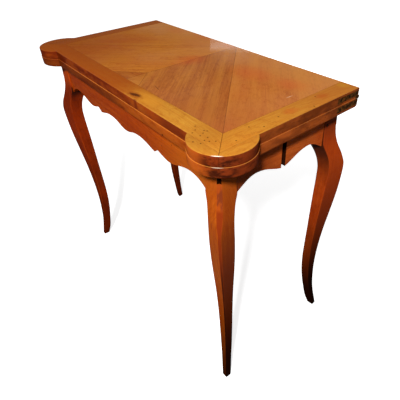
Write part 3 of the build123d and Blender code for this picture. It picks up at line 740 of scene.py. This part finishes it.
def border_finish(name, grain, heart, edge_light, edge_deep, joints):
    """Golden fruitwood, redder towards the left; the leaf's edges are darker than its face."""
    wood = Fruitwood(name, pale=tone(206, 146, 52), deep=tone(186, 116, 36), warm=tone(196, 118, 36),
                     grain=grain, heart=heart, ring=3.6 * mm, figure=0.45)
    run = wood.vector("DOT_PRODUCT", wood.place, (1, 0.1, 0))
    wood.stain(tone(158, 68, 14), wood.step(wood.clouded(run, 9, 0.22), 0.0, 0.22, 0.85, 0.0))
    wood.stain(tone(180, 98, 38), wood.step(wood.y, -0.10, 0.16, 0.0, 0.6))
    wood.stain(tone(166, 100, 32), browner_top(wood), 0.5)
    edge_stain(wood, edge_light, edge_deep)
    for point, direction, inside, strength in joints:
        seam(wood, point, direction, strength, inside)
    return wood


def polished(wood):
    """The border's varnish: thin on the faces, worn off the edges, rubbed to a gloss on the top arrises,
    with a near-white highlight painted on them at the near ear.
    """
    gloss = 0.012
    for level, shine in ((top_level, 0.9), (lower_top, 0.4)):
        below = wood.number("SUBTRACT", level, wood.z)
        arris = wood.times(wood.step(below, 0.04 * mm, 0.15 * mm),
                           wood.step(below, 1.0 * mm, 1.4 * mm, 1.0, 0.0))
        # Painted highlight: near-white on the arris at the nose of the ear.
        wood.stain(tone(252, 236, 214), arris, nose_highlight(wood), shine)
        gloss = wood.number("ADD", gloss, wood.times(arris, 0.1))
    face_gloss = wood.step(wood.z, top_level - 0.1 * mm, top_level - 0.02 * mm, 0.0, 0.015)
    return wood.varnish(coat=wood.number("ADD", gloss, face_gloss), coat_roughness=0.08)


def knot(wood):
    """A dark knot near the front edge, in a swirl of brown and a pale halo, and a crack in the edge."""
    halo = oval(wood, (0.135, leaf_front + 22 * mm), (46 * mm, 17 * mm), soft=0.6, ragged=0.8)
    swirl = oval(wood, (0.105, leaf_front + 13 * mm), (24 * mm, 9 * mm), soft=0.5, ragged=1.2)
    core = oval(wood, (0.104, leaf_front + 14 * mm), (15 * mm, 5 * mm), soft=0.5, ragged=1.6, turn=0.25)
    crack = oval(wood, (0.126, leaf_front), (6 * mm, 2.5 * mm), soft=0.7, ragged=0.8)
    wood.stain(tone(218, 146, 44), halo, 0.5)
    wood.stain(tone(146, 64, 18), swirl, 0.6)
    wood.stain(tone(70, 28, 11), core, 0.85)
    wood.stain(tone(104, 24, 10), crack, 0.65)


def spots(wood, places):
    """Soft patches of other tones, each given by its middle, its radii in mm, and its colour."""
    for middle, radii, colour in places:
        patch = oval(wood, middle, tuple(radius * mm for radius in radii), soft=0.8, ragged=0.9)
        wood.stain(colour, patch, 0.5)


def on_top(places):
    """Points on the closed top, from places in plan in mm."""
    return [(x * mm, y * mm, top_level) for x, y in places]


mitre_right = ((half_length, leaf_front), (-1, 1), None, 0.9)
mitre_left = ((-half_length, leaf_front), (1, 1), None, 0.6)
ears = {side: ((side * ear_centre_x, ear_centre_y), ear_reach) for side in (1, -1)}
front_glue = [((0, leaf_front), (1, 0), ears[side], 0.4) for side in (1, -1)]
side_glue = {side: ((side * half_length, 0), (0, 1), ears[side], 0.1) for side in (1, -1)}
front_worm = on_top(((321, -150), (326, -147), (327, -157), (309, -160), (344, -160), (348, -170),
                     (356, -166), (339, -187), (331, -166), (314, -170), (352, -181), (363, -158),
                     (298, -152)))
side_worm = on_top(((381, -65), (364, -85), (384, -132), (372, -20), (388, 60), (361, 96)))
edge_worm = [(0.221, leaf_front, 0.7005)]
right_spots = (((0.3685, 0.107), (9, 13), tone(176, 74, 26)), ((0.371, 0.014), (9, 14), tone(190, 84, 30)),
               ((0.365, 0.181), (12, 10), tone(202, 140, 40)))
right_edge = {"upper": (tone(156, 74, 28), tone(114, 51, 18)),
              "lower": (tone(174, 84, 32), tone(130, 59, 22))}
front_edge = {"upper": (tone(160, 66, 17), tone(116, 38, 11)),
              "lower": (tone(180, 84, 22), tone(138, 54, 13))}
for leaf in ("upper", "lower"):
    front_wood = border_finish(f"{leaf}_front_border_wood", (1, 0, 0), (0.4, leaf_front - 0.03, 0.66),
                               *front_edge[leaf], (mitre_right, mitre_left, *front_glue))
    right_wood = border_finish(f"{leaf}_right_border_wood", (0, 1, 0), (half_length + 0.03, 0.1, 0.66),
                               *right_edge[leaf], (mitre_right, side_glue[1]))
    left_wood = border_finish(f"{leaf}_left_border_wood", (0, 1, 0), (-half_length + 0.01, -0.2, 0.67),
                              *front_edge[leaf], (mitre_left, side_glue[-1]))
    if leaf == "upper":
        knot(front_wood)
        worm_holes(front_wood, front_worm)
        worm_holes(right_wood, side_worm)
        spots(right_wood, right_spots)
    else:
        worm_holes(front_wood, edge_worm, radius=2.2 * mm)
    front_finish = polished(front_wood)
    eased(f"{leaf}_front_border", f"{leaf}_front_border_board", leaf_rim, arris_round, front_finish)
    for hand, side_finish in (("right", polished(right_wood)), ("left", polished(left_wood))):
        for part, form, finish in (("side_border", "board", side_finish),
                                   ("front_ear", "block", front_finish),
                                   ("side_ear", "block", side_finish)):
            node = f"{hand}_{leaf}_{part}"
            eased(node, f"{node}_{form}", leaf_rim, arris_round, finish)
core_wood = Fruitwood("core_board_wood", pale=tone(184, 112, 56), deep=tone(148, 80, 36),
                      warm=tone(170, 92, 40), grain=(1, 0, 0), heart=(0, 0.3, 0.66), figure=0.7)
core_varnish = core_wood.varnish(roughness=0.6, coat=0.0)
for leaf in ("upper", "lower"):
    lay_finish(f"{leaf}_core_board", core_varnish)


# Veneered field of the closed top. Two halves are quartered about a seam just right of the middle,
# their grain meeting in an arrow, each half cut again along its diagonal, with a small two-piece
# triangle let in at the front. Thin fruitwood, glued and varnished.
field_x = half_length - border_width
field_front = leaf_front + border_width
field_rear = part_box("rear_right_veneer")[1][1]
seam_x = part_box("front_right_veneer")[0][0]
patch_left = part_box("left_patch_veneer")[0][0]
patch_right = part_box("right_patch_veneer")[1][0]
patch_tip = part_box("left_patch_veneer")[1][1]
# Middle and radii of each reddish patch painted on the varnish as a reflection.
red_reflections = (
    ((-0.238, 0.172), (0.035, 0.02)), ((-0.115, 0.188), (0.045, 0.014)), ((-0.01, 0.186), (0.03, 0.014)),
    ((0.18, 0.095), (0.045, 0.03)), ((0.011, 0.043), (0.025, 0.035)), ((0.286, 0.109), (0.03, 0.022)),
)


def scratches(wood):
    """A dark scored mark near the front edge, and a pale scratch further back on the right."""
    score = oval(wood, (0.1045, -0.1104), (14 * mm, 0.8 * mm), soft=0.5, ragged=0.5, turn=-0.2)
    scuff = oval(wood, (0.3273, 0.0585), (7 * mm, 0.9 * mm), soft=0.7, ragged=0.9, turn=1.5)
    wood.stain(tone(60, 24, 10), score, 0.7)
    wood.stain(tone(240, 200, 160), scuff, 0.6)


def veneer_finish(name, pale, deep, line_share, grain, heart, joints):
    """Orange-brown fruitwood veneer, cut flat so that its rings run long and close.

    It is browner at the near corner, painted darker at the far one as shade and duller there, and
    painted paler along the back as a reflection; its reddish patches are painted reflections too.
    """
    wood = Fruitwood(name, pale=pale, deep=deep, warm=tone(188, 96, 40), grain=grain, heart=heart,
                     ring=2.2 * mm, figure=0.35, streak=4.5 * mm)
    bands = wood.noise(wood.grainwise(2, 26), detail=2, roughness=0.5)
    lines = wood.noise(wood.grainwise(6, 300), detail=2)
    near_corner = oval(wood, (field_x, field_front), (0.16, 0.11), soft=0.8)
    far_corner = oval(wood, (-field_x, field_front), (0.20, 0.14), soft=0.9)
    wood.stain(tone(206, 132, 50), wood.step(bands, 0.46, 0.66, 0.0, 0.35))
    wood.stain(tone(128, 58, 22), wood.step(lines, 0.58, 0.70, 0.0, line_share))
    # Painted reflections: reddish patches on the varnish.
    for spot, radii in red_reflections:
        wood.stain(tone(200, 72, 30), oval(wood, spot, radii, soft=0.9, ragged=0.8), 0.38)
    # Painted reflection: the field is painted paler towards the back.
    wood.stain(tone(216, 150, 82), wood.step(wood.y, 0.05, 0.19, 0.0, 0.4))
    wood.stain(tone(150, 78, 30), near_corner, 0.35)
    # Painted shade: the far corner is painted darker.
    wood.stain(tone(142, 58, 6), far_corner, 0.48)
    for point, direction in joints:
        seam(wood, point, direction, strength=0.7)
    scratches(wood)
    uneven = wood.noise(wood.stretch(wood.place, 5, 5, 1), detail=3, roughness=0.5)
    dulled = wood.number("SUBTRACT", 1.0, wood.times(far_corner, 0.8))
    gloss = wood.times(wood.step(uneven, 0.35, 0.66, 0.03, 0.12), dulled)
    return wood.varnish(coat=gloss, coat_roughness=0.07)


golden = (tone(208, 128, 43), tone(184, 104, 35), 0.2)
brown = (tone(188, 110, 44), tone(160, 86, 34), 0.28)
smooth = (tone(196, 116, 50), tone(182, 102, 44), 0.15)
dark_patch = (tone(182, 102, 34), tone(156, 78, 26), 0.3)
pale_patch = (tone(194, 120, 44), tone(172, 96, 34), 0.2)


def cut_to_seam(x, y):
    """The joint from the field's front edge at x to the middle seam at y, as a point and a direction."""
    return (x, field_front), (seam_x - x, y - field_front)


centre, front_line = ((seam_x, field_front), (0, 1)), ((0, field_front), (1, 0))
right_end, left_end = ((field_x, 0), (0, 1)), ((-field_x, 0), (0, 1))
right_diagonal, left_diagonal = cut_to_seam(field_x, field_rear), cut_to_seam(-field_x, field_rear)
right_slope, left_slope = cut_to_seam(patch_right, patch_tip), cut_to_seam(patch_left, patch_tip)
falling, rising, flatter = (1, -1, 0), (1, 1, 0), (1, 0.1, 0)
panels = {
    "front_right": (brown, falling, (0.2, -0.2, 0.67), (centre, front_line, right_diagonal, right_slope)),
    "rear_right": (smooth, falling, (0.05, 0.3, 0.70), (centre, right_end, right_diagonal)),
    "front_left": (golden, rising, (-0.3, -0.15, 0.66), (centre, front_line, left_diagonal, left_slope)),
    "rear_left": (golden, rising, (-0.1, 0.35, 0.69), (centre, left_end, left_diagonal)),
    "left_patch": (dark_patch, flatter, (0, -0.3, 0.70), (centre, front_line, left_slope)),
    "right_patch": (pale_patch, rising, (0.1, -0.3, 0.68), (centre, front_line, right_slope)),
}
for panel, (tones, grain, heart, joints) in panels.items():
    node = panel + "_veneer"
    lay_finish(node, veneer_finish(node + "_wood", *tones, grain, heart, joints))


# Baize. Both playing surfaces, inside the folded leaves, are green wool baize glued to the core
# board and cut to the field's edge.
baize_columns, baize_rows = 240, 120
nap_height = 0.12 * mm
baize_sharp_angle = math.radians(40)
felt = Finish("green_baize")
fuzz = felt.noise(felt.place, scale=900, detail=3, roughness=0.7)
fade = felt.noise(felt.place, scale=9, detail=3, roughness=0.55)
green = felt.blend(felt.step(fade, 0.35, 0.7), tone(28, 84, 46), tone(44, 100, 56))
green = felt.blend(felt.step(fuzz, 0.3, 0.7, 0, 0.55), green, tone(18, 58, 32))
felt.set(Base_Color=green, Roughness=0.95, Sheen_Weight=0.35, Sheen_Roughness=0.5,
         Specular_IOR_Level=0.1, Normal=felt.bump(fuzz, 0.25 * mm, 0.7))


def baize(name, node, face):
    """A thin felt slab on a grid, its face side lowered by a fine nap; face is 1 if that side is on top.

    The nap is h (1/2 + sin 900x cos 800y / 4 + sin(310x + 470y) / 4), with x and y in metres.
    """
    low, high = (np.array(v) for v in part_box(node))
    x, y = np.meshgrid(np.linspace(low[0], high[0], baize_columns), np.linspace(low[1], high[1], baize_rows))
    nap = nap_height * (0.5 + 0.25 * np.sin(x * 900) * np.cos(y * 800) + 0.25 * np.sin(x * 310 + y * 470))
    top = high[2] - nap if face > 0 else np.full_like(x, high[2])
    bottom = np.full_like(x, low[2]) if face > 0 else low[2] + nap
    points = np.stack([np.stack([x, y, top], 2), np.stack([x, y, bottom], 2)])
    index = np.arange(x.size).reshape(x.shape)
    quads = np.stack([index[:-1, :-1], index[:-1, 1:], index[1:, 1:], index[1:, :-1]], 2).reshape(-1, 4)
    under = quads[:, ::-1] + x.size
    rim = np.concatenate([index[0, :], index[1:, -1], index[-1, -2::-1], index[-2:0:-1, 0]])
    turned = np.roll(rim, -1)
    walls = np.stack([rim, rim + x.size, turned + x.size, turned], 1)
    mesh = faced_mesh(name, points, np.concatenate([quads, under, walls]).tolist(), baize_sharp_angle)
    piece = place_piece(name, mesh, felt.material, node)


baize("lower_baize_cloth", "lower_baize", 1)
baize("upper_baize_cloth", "upper_baize", -1)


# Hinges. Brass card-table hinges, let into the ends of both leaves at the rear and screwed, gone
# brown with age; the screws are dull iron.
def metal_finish(name, bright, dark, metallic=0.08, roughness=0.5):
    """Old metal: brown tarnish in clouds over what is left of the polish, with fine scratches."""
    metal = Finish(name)
    cloud = metal.noise(metal.place, scale=160, detail=4, roughness=0.65)
    scratch = metal.noise(metal.stretch(metal.place, 3000, 400, 3000), detail=2)
    metal.set(Base_Color=metal.blend(metal.step(cloud, 0.38, 0.66), dark, bright), Metallic=metallic,
              Roughness=metal.step(cloud, 0.3, 0.7, roughness + 0.15, roughness), Specular_IOR_Level=0.0,
              Normal=metal.bump(scratch, 0.05 * mm, 0.5))
    return metal.material


hinge_brass = metal_finish("tarnished_brass", tone(104, 62, 24), tone(46, 26, 11))
screw_iron = metal_finish("dull_iron", tone(56, 36, 20), tone(24, 15, 9))
for hand in ("right", "left"):
    for part in ("lower_hinge_plate", "upper_hinge_plate", "hinge_pin"):
        lay_finish(f"{hand}_{part}", hinge_brass)
for node in ("lower_hinge_screws", "upper_hinge_screws", "leaf_screws"):
    lay_finish(node, screw_iron)


# Studio. A white floor that keeps a faint shadow, a white surround, a soft lamp in front and above, a
# weak one low behind, and the camera where the photograph was taken from, off the right-hand corner.
half_floor = 20.0
white, floor_seen, floor_lit = (1, 1, 1, 1), (0.9, 0.9, 0.9, 1), (0.12, 0.12, 0.12, 1)
shadow_radius, shadow_end, shadow_level = 0.6, 2.0, 0.68
surround_light = 0.15
image_width = 400
camera_place = (0.784043, -0.480795, 1.049164)
camera_azimuth, camera_elevation, camera_roll = 0.899, 0.674, -0.037
focal_pixels = 370.591
centre_pixel_x, centre_pixel_y = 223.564, 195.604
sensor = 36.0


def seen_plainly(bench):
    """1 for what the camera sees, straight or by reflection or through glass, 0 for light on the table."""
    ray = bench.lay("ShaderNodeLightPath").outputs
    seen = bench.number("ADD", ray["Is Camera Ray"], ray["Is Glossy Ray"])
    return bench.number("ADD", seen, ray["Is Transmission Ray"], clamp=True)


floor_mesh = bpy.data.meshes.new("floor")
floor_corners = [(x * half_floor, y * half_floor, 0) for x, y in ((-1, -1), (1, -1), (1, 1), (-1, 1))]
floor_mesh.from_pydata(floor_corners, [], [(0, 1, 2, 3)])
floor = bpy.data.objects.new("floor", floor_mesh)
bpy.context.scene.collection.objects.link(floor)
paper = Finish("white_floor")
seen = seen_plainly(paper)
glow = paper.step(paper.vector("LENGTH", paper.place), shadow_radius, shadow_end, shadow_level, 1.0)
paper.set(Base_Color=paper.blend(seen, floor_lit, floor_seen), Roughness=0.9, Specular_IOR_Level=0.0,
          Emission_Color=white, Emission_Strength=paper.times(seen, glow))
floor_mesh.materials.append(paper.material)

surround = bpy.data.worlds.new("surround")
bpy.context.scene.world = surround
surround.use_nodes = True
sky = Bench(surround.node_tree)
backdrop = surround.node_tree.nodes["Background"].inputs
sky.feed(backdrop["Color"], white)
sky.feed(backdrop["Strength"], sky.step(seen_plainly(sky), 0.0, 1.0, surround_light, 1.0))


def soft_lamp(name, place, target, side, watts):
    """A square soft box that faces its target."""
    lamp = bpy.data.objects.new(name, bpy.data.lights.new(name, "AREA"))
    lamp.data.shape = "SQUARE"
    lamp.data.size = side
    lamp.data.energy = watts
    lamp.location = place
    lamp.rotation_euler = (Vector(target) - Vector(place)).to_track_quat("-Z", "Y").to_euler()
    bpy.context.scene.collection.objects.link(lamp)


soft_lamp("key", place=(1.22, -1.18, 1.93), target=(0.1, -0.05, 0.6), side=0.2, watts=52)
soft_lamp("fill behind", place=(-1.5, 1.9, 0.95), target=(0, 0, 0.45), side=1.0, watts=18)

toward = Vector((math.sin(camera_azimuth) * math.cos(camera_elevation),
                 -math.cos(camera_azimuth) * math.cos(camera_elevation), math.sin(camera_elevation)))
level_right = (-toward).cross(Vector((0, 0, 1))).normalized()
level_up = level_right.cross(-toward)
right = math.cos(camera_roll) * level_right + math.sin(camera_roll) * level_up
up = math.cos(camera_roll) * level_up - math.sin(camera_roll) * level_right
camera = bpy.data.objects.new("camera", bpy.data.cameras.new("camera"))
bpy.context.scene.collection.objects.link(camera)
pose = Matrix((right, up, toward)).transposed().to_4x4()
pose.translation = camera_place
camera.matrix_world = pose
camera.data.sensor_width = sensor
camera.data.lens = focal_pixels / image_width * sensor
camera.data.shift_x = (image_width / 2 - centre_pixel_x) / image_width
camera.data.shift_y = (centre_pixel_y - image_width / 2) / image_width
bpy.context.scene.camera = camera
bpy.context.scene.view_settings.view_transform = "Standard"
